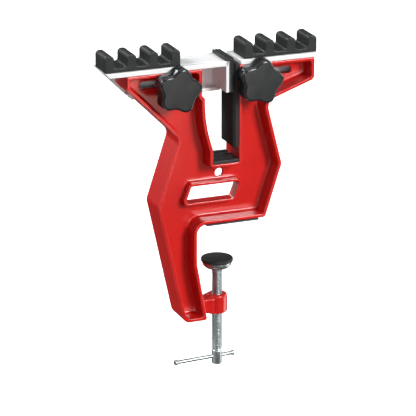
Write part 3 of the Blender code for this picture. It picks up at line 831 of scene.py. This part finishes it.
def casting_shell():
    """The closed shell of rim, web, collar, hole and slots."""
    builder = bmesh.new()
    sides = []
    for side, web in ((-1.0, WEB_FRONT), (1.0, WEB_BACK)):
        rings = []
        for inset, y in rim_levels(side, web):
            least = POCKET_CORNER if inset > RIM_WIDTH / 2.0 else LEAST_FILLET
            rings.append(add_ring(builder, rounded_outline(FRAME_CORNERS, inset, least), y))
        bridge_all(builder, rings)
        sides.append(rings)
    bridge(builder, sides[0][0], sides[1][0])
    front_rings = [sides[0][-1]]
    back_rings = [sides[1][-1]]
    collar = [add_ring(builder, rounded_outline(OPENING_CORNERS, inset), y) for inset, y in collar_levels()]
    hole = [add_ring(builder, circle_outline(HOLE_X, HOLE_Z, HOLE_RADIUS + grow), y)
            for grow, y in hole_levels()]
    tunnels = [collar, hole]
    for left, right in SLOTS:
        tunnels.append([add_ring(builder, rounded_outline(slot_corners(left, right), -grow), y)
                        for grow, y in hole_levels()])
    for rings in tunnels:
        bridge_all(builder, rings)
        front_rings.append(rings[0])
        back_rings.append(rings[-1])
    fill_between(builder, front_rings)
    fill_between(builder, back_rings)
    return builder


def neck_block():
    """The block that carries the boss, flared where it meets the foot and the boss."""
    builder = bmesh.new()
    rings = []
    for x, grow in NECK_FLARE:
        rings.append([builder.verts.new((x, y, z)) for y, z in rounded_outline(NECK_CORNERS, -grow)])
    close_loft(builder, rings)
    return builder


def boss_barrel():
    """The threaded boss, with rounded shoulders."""
    return lathe(softened(rod(BOSS_RADIUS, BOSS_BOTTOM, BOSS_TOP), BOSS_ROUND, 5))


def boss_bore():
    """The bore's cutter, with a countersink at both ends."""
    bore = SCREW_RADIUS + RUN_GAP
    wide = bore + BOSS_SINK
    low, high = BOSS_BOTTOM - CUT_MARGIN, BOSS_TOP + CUT_MARGIN
    return lathe([(0.0, low), (wide, low), (wide, BOSS_BOTTOM), (bore, BOSS_BOTTOM + BOSS_SINK),
                  (bore, BOSS_TOP - BOSS_SINK), (wide, BOSS_TOP), (wide, high), (0.0, high)])


def build_casting(paint):
    """The red frame in one piece, with the sliders' guide grooves cut into its back."""
    frame = finish_mesh("vise_frame", casting_shell(), [paint])
    fuse(frame, neck_block())
    fuse(frame, boss_barrel())
    cut(frame, boss_bore())
    grooves = ((LEFT_SLIDER_END, 0.0), (RIGHT_FLANGE_START - CUT_STEP, RIGHT_SLIDER_END + CUT_MARGIN))
    for left, right in grooves:
        cut(frame, block(left, right, FLANGE_FRONT - GROOVE_GAP, HALF_DEPTH + CUT_MARGIN,
                         FLANGE_BOTTOM - GROOVE_GAP, FLANGE_TOP + GROOVE_GAP))
    place_piece(frame, "frame", "frame_casting")


# ---- sliders

def slider_corners():
    """YZ outline of a slider: top plate with two grooves, back leg and guide flange."""
    corners = [(PLATE_FRONT, PLATE_TOP, 0.9), (PLATE_FRONT, PLATE_BOTTOM, 0.7),
               (LEG_FRONT, PLATE_BOTTOM, 0.8), (LEG_FRONT, FLANGE_TOP, 0.8),
               (FLANGE_FRONT, FLANGE_TOP, 0.6), (FLANGE_FRONT, FLANGE_BOTTOM, 0.6),
               (LEG_BACK, FLANGE_BOTTOM, 1.2), (LEG_BACK, PLATE_TOP, 1.6)]
    for y, half in reversed(PLATE_GROOVES):
        floor = PLATE_TOP - PLATE_GROOVE_DEPTH
        corners += [(y + half, PLATE_TOP, 0.25), (y + half, floor, 0.2),
                    (y - half, floor, 0.2), (y - half, PLATE_TOP, 0.25)]
    return corners


def bolt_hole(x):
    """The cutter for the bolt's hole in the leg."""
    cutter = lathe(rod(BOLT_RADIUS + TOUCH_GAP, LEG_FRONT - CUT_STEP, LEG_BACK + CUT_STEP))
    return moved(turned(cutter, -math.pi / 2.0, "X"), x, 0.0, SLOT_Z)


def build_sliders(plate):
    """Both white sliders; the left one carries the moving jaw."""
    profile = soft_prism(slider_corners(), LEFT_SLIDER_END, JAW_RIGHT - OFF_PLANE, PLATE_EDGE, "X",
                         slant_top=PLATE_TOP)
    left = finish_mesh("left_slide_plate", profile, [plate])
    jaw_corners = ((PLATE_FRONT, PLATE_TOP, 0.9), (PLATE_FRONT, JAW_BOTTOM, 1.2),
                   (LEG_BACK, JAW_BOTTOM, 1.2), (LEG_BACK, PLATE_TOP, 1.6))
    fuse(left, soft_prism(jaw_corners, JAW_LEFT, JAW_RIGHT, PLATE_EDGE, "X"))
    cut(left, bolt_hole(LEFT_BOLT_X))
    place_piece(left, "left_slider", "left_slider")
    profile = soft_prism(slider_corners(), RIGHT_SLIDER_START, RIGHT_SLIDER_END, PLATE_EDGE, "X")
    right = finish_mesh("right_slide_plate", profile, [plate])
    cut(right, block(RIGHT_SLIDER_START - CUT_STEP, RIGHT_FLANGE_START, 0.0, LEG_FRONT,
                     FLANGE_BOTTOM - CUT_STEP, FLANGE_TOP + CUT_STEP))
    cut(right, bolt_hole(RIGHT_BOLT_X))
    place_piece(right, "right_slider", "right_slider")


# ---- rubber

def ridge_centres(start):
    """X of each ridge of the comb that begins at start."""
    pitch = (COMB_LENGTH - RIDGE_WIDTH) / (RIDGE_COUNT - 1)
    return [start + RIDGE_WIDTH / 2.0 + pitch * index for index in range(RIDGE_COUNT)]


def end_inset(y):
    """How far the comb's skin is drawn in at one depth, for its rounded ends."""
    inset = 0.0
    for reach, edge in ((y - COMB_FRONT, COMB_FRONT_ROUND), (COMB_BACK - y, COMB_BACK_ROUND)):
        if reach < edge:
            inset += edge - math.sqrt(edge ** 2 - (edge - reach) ** 2)
    return inset


def comb_depths():
    """Depths of the comb's rings, closer together at the rounded ends."""
    depths = []
    y = COMB_FRONT
    while y < COMB_BACK - OFF_PLANE / 2.0:
        depths.append(y)
        near_end = min(y - COMB_FRONT, COMB_BACK - y) < COMB_BACK_ROUND
        y += FINE_RING_STEP if near_end else RING_STEP
    depths.append(COMB_BACK)
    return depths


def comb_corners(start):
    """XZ outline of a comb: a base strip that carries four round-topped ridges."""
    half = RIDGE_WIDTH / 2.0
    root = COMB_BOTTOM + COMB_BASE
    corners = [(start, COMB_BOTTOM, 0.4), (start + COMB_LENGTH, COMB_BOTTOM, 0.4)]
    centres = list(reversed(ridge_centres(start)))
    for number, x in enumerate(centres):
        if number > 0:
            corners.append((x + half, root, ROOT_FILLET))
        corners += [(x + half, COMB_TOP, RIDGE_ROUND), (x - half, COMB_TOP, RIDGE_ROUND)]
        if number < RIDGE_COUNT - 1:
            corners.append((x - half, root, ROOT_FILLET))
    return corners


def notch_drop(x, y, z, centres):
    """How far the shallow notches across a ridge's right shoulder lower a point."""
    shoulder = COMB_TOP - RIDGE_ROUND
    nearest = min(centres, key=lambda centre: abs(centre - x))
    height_share = min(1.0, max(0.0, NOTCH_STEEPNESS * (z - shoulder) / RIDGE_ROUND))
    side_share = min(1.0, max(0.0, (x - nearest + NOTCH_START) / NOTCH_FADE))
    depth = 0.0
    for share in NOTCH_SHARES:
        middle = COMB_FRONT + share * (COMB_BACK - COMB_FRONT)
        depth += NOTCH_DEPTH * math.exp(-((y - middle) / NOTCH_REACH) ** 2)
    return depth * height_share * side_share


def build_comb(side, start, rubber):
    """One rubber comb, lofted in one piece from front to back."""
    builder = bmesh.new()
    centres = ridge_centres(start)
    levels = [(end_inset(COMB_FRONT) + FLAT_BORDER, COMB_FRONT)]
    levels += [(end_inset(y), y) for y in comb_depths()]
    levels.append((end_inset(COMB_BACK) + FLAT_BORDER, COMB_BACK))
    rings = []
    for inset, y in levels:
        outline = [(x, z - notch_drop(x, y, z, centres))
                   for x, z in rounded_outline(comb_corners(start), inset)]
        rings.append(add_ring(builder, outline, y))
    fill_loft(builder, rings)
    add_piece(side + "_ridge_comb", builder, rubber, side + "_slider", side + "_comb")


def build_jaw_pad(rubber):
    """The moving jaw's pad: a face with an upright slit and a grooved, toothed lip over the plate."""
    pad_left = JAW_RIGHT + TOUCH_GAP
    pad_right = pad_left + JAW_PAD_THICKNESS
    lip_left = pad_right - JAW_LIP_LENGTH
    lip_bottom = PLATE_TOP + TOUCH_GAP
    floor = JAW_LIP_TOP - LIP_GROOVE_DEPTH
    corners = [(pad_right, JAW_LIP_TOP, 1.6)]
    for x in LIP_GROOVES:
        corners += [(x + 0.6, JAW_LIP_TOP, 0.25), (x + 0.4, floor, 0.2),
                    (x - 0.4, floor, 0.2), (x - 0.6, JAW_LIP_TOP, 0.25)]
    corners += [(lip_left, JAW_LIP_TOP, 0.8), (lip_left, lip_bottom, 0.3), (pad_left, lip_bottom, 0.3),
                (pad_left, JAW_BOTTOM, 0.4), (pad_right, JAW_BOTTOM, 0.8)]
    pad = finish_mesh("jaw_pad", soft_prism(corners, PLATE_FRONT, HALF_DEPTH, 0.7), [rubber])
    middle = (pad_left + pad_right) / 2.0
    cut(pad, block(middle - JAW_SLIT_HALF_WIDTH, middle + JAW_SLIT_HALF_WIDTH,
                   PLATE_FRONT - CUT_STEP, PLATE_FRONT + JAW_SLIT_DEPTH,
                   JAW_BOTTOM - CUT_STEP, JAW_LIP_TOP - JAW_SLIT_DROP))
    for tooth in range(LIP_TEETH):
        y = PLATE_FRONT + TOOTH_START + TOOTH_PITCH * tooth
        cut(pad, block(lip_left - CUT_STEP, lip_left + TOOTH_REACH, y, y + TOOTH_GAP,
                       JAW_LIP_TOP - TOOTH_DEPTH, JAW_LIP_TOP + CUT_STEP))
    place_piece(pad, "left_slider", "left_jaw_pad")


def build_wall_pad(rubber):
    """The tall pad on the notch's right wall, with bevelled front and back edges."""
    right = NOTCH_RIGHT - TOUCH_GAP
    left = right - WALL_PAD_THICKNESS
    deep, bevel = HALF_DEPTH, WALL_PAD_BEVEL
    corners = ((left, deep - bevel, 0.5), (left, -deep + bevel, 0.5), (left + bevel, -deep, 0.5),
               (right, -deep, 0.4), (right, deep, 0.4), (left + bevel, deep, 0.5))
    prism = soft_prism(corners, WALL_PAD_BOTTOM, WALL_PAD_TOP, WALL_PAD_EDGE, "Z")
    add_piece("notch_wall_cushion", prism, rubber, "frame", "notch_wall_pad")


def build_floor_pad(rubber):
    """The notch floor's pad with three ribs along X."""
    low = NOTCH_FLOOR + TOUCH_GAP
    top = low + FLOOR_PAD_THICKNESS
    valley = top - FLOOR_RIB_DEPTH
    deep = HALF_DEPTH
    rib = 2.0 * deep / (2 * FLOOR_RIBS + 1)
    corners = [(-deep, low, 0.3), (deep, low, 0.3), (deep, top, 0.8)]
    for number in reversed(range(FLOOR_RIBS)):
        y = -deep + rib * (2 * number + 1)
        corners += [(y + rib, top, 0.7), (y + rib * 0.8, valley, 0.4),
                    (y + rib * 0.2, valley, 0.4), (y, top, 0.7)]
    corners.append((-deep, top, 0.8))
    prism = soft_prism(corners, NOTCH_FLOOR_LEFT + TOUCH_GAP, NOTCH_RIGHT - TOUCH_GAP, PAD_EDGE, "X")
    add_piece("notch_floor_cushion", prism, rubber, "frame", "notch_floor_pad")


def build_bench_pad(rubber):
    """The thin pad between the casting and the bench."""
    corners = ((BENCH_PAD_LEFT, BENCH_PAD_THICKNESS, 0.3), (BENCH_PAD_LEFT, 0.0, 0.5),
               (BENCH_PAD_RIGHT, 0.0, 0.5), (BENCH_PAD_RIGHT, BENCH_PAD_THICKNESS, 0.3))
    prism = soft_prism(corners, -HALF_DEPTH, HALF_DEPTH, PAD_EDGE)
    add_piece("bench_cushion", prism, rubber, "frame", "bench_pad")


# ---- knobs and bolts

def lobe_radius(angle):
    """Radius of the star knob's edge at an angle."""
    return KNOB_RADIUS + KNOB_LOBE_DEPTH * math.cos(KNOB_LOBES * (angle - KNOB_FIRST_LOBE))


def star_ring(builder, inset, height, round_radius=None):
    """One ring of the star, drawn in by inset, or a plain circle."""
    ring = []
    for angle in around(KNOB_STEPS):
        reach = lobe_radius(angle) - inset if round_radius is None else round_radius
        ring.append(builder.verts.new(polar(reach, angle, height)))
    return ring


def knob_mesh():
    """The star head on its hub; the crowned face takes the second material."""
    builder = bmesh.new()
    hub_back = WASHER_THICKNESS + 2.0 * TOUCH_GAP
    bore = INSERT_RADIUS + TOUCH_GAP
    hub = [(bore, KNOB_BORE_END), (bore, hub_back + BORE_CHAMFER), (bore + BORE_CHAMFER, hub_back),
           (HUB_RADIUS - HUB_CHAMFER, hub_back), (HUB_RADIUS, hub_back + HUB_CHAMFER)]
    hub += [(HUB_RADIUS + grow, KNOB_BACK - drop) for grow, drop in HUB_FLARE]
    rings = [star_ring(builder, 0.0, height, radius) for radius, height in hub]
    for s, c in quarter_round():
        rings.append(star_ring(builder, KNOB_BACK_ROUND * (1.0 - s), KNOB_BACK + KNOB_BACK_ROUND * (1.0 - c)))
    lip = KNOB_FACE - KNOB_CROWN
    for s, c in quarter_round(5):
        rings.append(star_ring(builder, KNOB_SIDE_ROUND * (1.0 - c), lip - KNOB_SIDE_ROUND * (1.0 - s)))
    face_start = len(rings) - 1
    border = lip + OFF_PLANE
    rings.append(star_ring(builder, KNOB_SIDE_ROUND + KNOB_FACE_BORDER, border))
    rim = [vert.co.copy() for vert in rings[-1]]
    for share in KNOB_FACE_SHARES:
        height = border + (KNOB_FACE - border) * (1.0 - share ** 2)
        rings.append([builder.verts.new((point.x * share, point.y * share, height)) for point in rim])
    close_loft(builder, rings)
    face_verts = set(vert for ring in rings[face_start:] for vert in ring)
    for face in builder.faces:
        if all(vert in face_verts for vert in face.verts):
            face.material_index = 1
    return builder


def face_front(builder, bolt_x):
    """Turn a piece built about Z to look along -Y at a bolt's place."""
    return moved(turned(builder, math.pi / 2.0, "X"), bolt_x, 0.0, SLOT_Z)


def bolt_mesh(head_back, head_front):
    """The bolt's shank with its rolled thread, from inside the head to the tip."""
    shank, root = BOLT_RADIUS - 0.05, BOLT_RADIUS - BOLT_THREAD_DEPTH
    thread_start = head_front + BOLT_PLAIN_LENGTH
    rows = threaded_rows(thread_start, BOLT_REACH - 0.9, BOLT_PITCH, BOLT_RADIUS, root, BOLT_STEPS)
    start = [(shank, head_back + 1.0), (shank, thread_start - 0.6)]
    tip = [(root, BOLT_REACH - 0.5), (BOLT_RADIUS - 1.0, BOLT_REACH)]
    return threaded_shaft(start, rows, tip, BOLT_STEPS)


def hexagon_head(head_back, head_front, bolt_x, zinc):
    """The bolt's head: a hexagon with its corners turned off, over a washer face."""
    radius, shoulder = BOLT_HEAD_RADIUS, head_front - BOLT_FACE_HEIGHT
    hexagon = lathe(rod(radius, head_back, shoulder), 6)
    flats = radius * math.cos(math.pi / 6.0)
    wide, face = radius + 0.2, flats - 0.2
    cone = lathe([(0.0, head_back), (flats - 0.3, head_back), (wide, head_back + BOLT_HEAD_CHAMFER),
                  (wide, shoulder), (face, shoulder), (face, head_front), (0.0, head_front)])
    disc = lathe(rod(BOLT_FACE_RADIUS, head_front - 1.0, head_front))
    head = finish_mesh("head", face_front(hexagon, bolt_x), [zinc])
    combine(head, finish_mesh("cone", face_front(cone, bolt_x), [zinc]), "INTERSECT")
    fuse(head, face_front(disc, bolt_x))
    return head


def build_clamp_set(side, bolt_x, mats):
    """Bolt, washer and star knob on one slot's axis."""
    zinc = mats["zinc"]
    head_front = -(LEG_BACK + TOUCH_GAP)
    head_back = head_front - BOLT_HEAD_THICKNESS
    head = hexagon_head(head_back, head_front, bolt_x, zinc)
    bolt = finish_mesh(side + "_bolt", face_front(bolt_mesh(head_back, head_front), bolt_x), [zinc])
    combine(bolt, head, "UNION")
    place_piece(bolt, side + "_slider", side + "_clamp_bolt")
    hole = BOLT_RADIUS + RUN_GAP
    low, high = TOUCH_GAP, TOUCH_GAP + WASHER_THICKNESS
    section = [(hole, low), (WASHER_RADIUS, low), (WASHER_RADIUS, high), (hole, high)]
    add_piece(side + "_flat_washer", face_front(lathe(softened_loop(section, WASHER_EDGE)), bolt_x), zinc,
              side + "_washer", side + "_washer")
    knob = finish_mesh(side + "_star_knob", face_front(knob_mesh(), bolt_x),
                       [mats["gloss_black"], mats["satin_black"]], KNOB_SHARP_ANGLE)
    place_piece(knob, side + "_knob", side + "_knob")


# ---- bench clamp

def build_screw(steel):
    """The clamp screw with a real thread, a cross hole and the pin that the cup turns on."""
    start, edge = SCREW_THREAD_BOTTOM, SCREW_EDGE
    head = [(SCREW_RADIUS - 1.4, SCREW_BOTTOM), (SCREW_RADIUS - edge, SCREW_BOTTOM + 0.3),
            (SCREW_RADIUS, SCREW_BOTTOM + 1.0), (SCREW_RADIUS, start - 1.2),
            (SCREW_ROOT + 0.3, start - edge), (SCREW_ROOT, start - 0.1)]
    rows = threaded_rows(start, SCREW_SHOULDER - 0.6, SCREW_PITCH, SCREW_RADIUS, SCREW_ROOT, SCREW_STEPS)
    tip = [(SCREW_ROOT, SCREW_SHOULDER), (SCREW_NECK_RADIUS, SCREW_SHOULDER),
           (SCREW_NECK_RADIUS, SCREW_NECK_TOP), (SCREW_TIP_RADIUS, SCREW_NECK_TOP),
           (SCREW_TIP_RADIUS, SCREW_TIP_TOP - edge), (SCREW_TIP_RADIUS - edge, SCREW_TIP_TOP)]
    screw = finish_mesh("clamp_spindle", threaded_shaft(head, rows, tip, SCREW_STEPS), [steel])
    hole = BAR_RADIUS + RUN_GAP
    reach = SCREW_RADIUS + CUT_STEP
    inner = SCREW_RADIUS - 0.3
    cutter = lathe([(0.0, -reach), (hole + 1.0, -reach), (hole, -inner),
                    (hole, inner), (hole + 1.0, reach), (0.0, reach)], 32)
    cut(screw, lay_bar(cutter))
    place_piece(screw, "clamp_screw", "clamp_screw")


def lay_bar(builder):
    """Lay a piece built about Z along the tommy bar's axis."""
    turned(builder, math.pi / 2.0, "Y")
    turned(builder, BAR_TURN, "Z")
    return moved(builder, 0.0, 0.0, BAR_Z)


def build_bar(steel):
    """The tommy bar with its swaged ends."""
    left_neck = BAR_LEFT + BAR_END_LENGTH
    right_neck = BAR_RIGHT - BAR_END_LENGTH
    profile = [(0.0, BAR_LEFT), (BAR_END_RADIUS, BAR_LEFT), (BAR_END_RADIUS, left_neck),
               (BAR_RADIUS, left_neck + BAR_END_TAPER), (BAR_RADIUS, right_neck - BAR_END_TAPER),
               (BAR_END_RADIUS, right_neck), (BAR_END_RADIUS, BAR_RIGHT), (0.0, BAR_RIGHT)]
    bar = lay_bar(lathe(softened(profile, BAR_END_ROUND, 4), BAR_STEPS))
    add_piece("sliding_bar", bar, steel, "tommy_bar", "tommy_bar")


def build_swivel_pad(steel, rubber):
    """The steel cup that turns on the screw's pin, and the rubber cap over it."""
    neck_hole = SCREW_NECK_RADIUS + TOUCH_GAP
    tip_hole = SCREW_TIP_RADIUS + TOUCH_GAP
    floor = SCREW_NECK_TOP - TOUCH_GAP
    section = [(neck_hole, CUP_BOTTOM), (CUP_BASE_RADIUS, CUP_BOTTOM), (CUP_RADIUS, CUP_TOP - CUP_STRAIGHT),
               (CUP_RADIUS, CUP_TOP), (tip_hole, CUP_TOP), (tip_hole, floor), (neck_hole, floor)]
    add_piece("swivel_cup_shell", lathe(softened_loop(section, SWIVEL_EDGE, 4)), steel,
              "swivel_pad", "swivel_cup")
    skirt = CUP_RADIUS + TOUCH_GAP
    under = CUP_TOP + TOUCH_GAP
    profile = [(0.0, under), (skirt, under), (skirt, CAP_SKIRT_BOTTOM), (CAP_RADIUS, CAP_SKIRT_BOTTOM),
               (CAP_RADIUS, CAP_TOP), (0.0, CAP_TOP)]
    add_piece("swivel_cap_cover", lathe(softened(profile, SWIVEL_EDGE, 4)), rubber,
              "swivel_pad", "swivel_cap")


# ---- carried-over nodes

def dress_hidden_nodes(nodes, mats):
    """Give the CAD nodes that stay their finished materials."""
    for name, node in nodes.items():
        for part, finish in (("_knob_insert", "brass"), ("_comb_screw_", "zinc")):
            if part in name:
                node.data.materials.clear()
                node.data.materials.append(mats[finish])


# ---- studio

def aimed(name, data, place, target):
    """A new object that looks from a place at a target."""
    item = add_object(name, data)
    item.location = place
    item.rotation_euler = (Vector(target) - Vector(place)).to_track_quat("-Z", "Y").to_euler()
    return item


def soft_box(name, place, target, size, power, colour=WHITE):
    """A square light that looks at a target."""
    data = bpy.data.lights.new(name, "AREA")
    data.size = size
    data.energy = power
    data.color = colour
    aimed(name, data, place, target).visible_camera = False


def studio_world():
    """A dim surrounding with a pale band along the horizon behind the floor's edge."""
    world = bpy.data.worlds.new("studio")
    world.use_nodes = True
    tree = world.node_tree
    coordinates = tree.nodes.new("ShaderNodeTexCoord")
    split = tree.nodes.new("ShaderNodeSeparateXYZ")
    tree.links.new(coordinates.outputs["Generated"], split.inputs["Vector"])
    band = ramp(tree, remap(tree, split.outputs["Z"], From_Min=-1.0), WORLD_STOPS)
    tree.links.new(band, tree.nodes["Background"].inputs["Color"])
    return world


def build_camera(middle):
    """The camera, aimed at the middle of the object."""
    data = bpy.data.cameras.new("camera")
    data.lens = CAMERA_LENS
    bpy.context.scene.camera = aimed("camera", data, CAMERA_PLACE, middle)


def build_floor(lowest):
    """A wide pale floor that only the camera sees."""
    builder = bmesh.new()
    bmesh.ops.create_grid(builder, x_segments=4, y_segments=4, size=FLOOR_HALF_SIZE)
    floor = mesh_object("floor", builder, [floor_material()])
    floor.location = (0.0, 0.0, lowest - SCREW_TRAVEL_DOWN - FLOOR_CLEARANCE)
    floor.visible_diffuse = False
    floor.visible_glossy = False
    floor.visible_shadow = False


def build_studio(low, high):
    """Camera, floor, soft boxes and the surrounding."""
    build_camera((low + high) / 2.0)
    build_floor(low.z)
    for box in SOFT_BOXES:
        soft_box(*box)
    bpy.context.scene.world = studio_world()
    bpy.context.scene.view_settings.view_transform = "Standard"


def build_materials():
    """All the finishes by name."""
    return {
        "paint": red_paint(),
        "plate": white_plate(),
        "rubber": black_rubber(),
        "gloss_black": black_plastic("gloss_black", 0.16, 0.26, (0.012, 0.013, 0.014), 0.08),
        "satin_black": black_plastic("satin_black", 0.34, 0.44, (0.013, 0.0155, 0.0165), 0.30),
        "zinc": zinc_steel("zinc_plate", 0.28, 0.42),
        "thread": zinc_steel("zinc_thread", 0.32, 0.46),
        "brass": brass(),
    }


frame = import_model()
cad_low, cad_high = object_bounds()
mats = build_materials()
rubber = mats["rubber"]
build_casting(mats["paint"])
build_sliders(mats["plate"])
build_comb("left", LEFT_COMB_START, rubber)
build_comb("right", RIGHT_COMB_START, rubber)
build_jaw_pad(rubber)
build_wall_pad(rubber)
build_floor_pad(rubber)
build_bench_pad(rubber)
build_clamp_set("left", LEFT_BOLT_X, mats)
build_clamp_set("right", RIGHT_BOLT_X, mats)
build_screw(mats["thread"])
build_bar(mats["zinc"])
build_swivel_pad(mats["zinc"], rubber)
dress_hidden_nodes(frame["nodes"], mats)
build_studio(cad_low, cad_high)
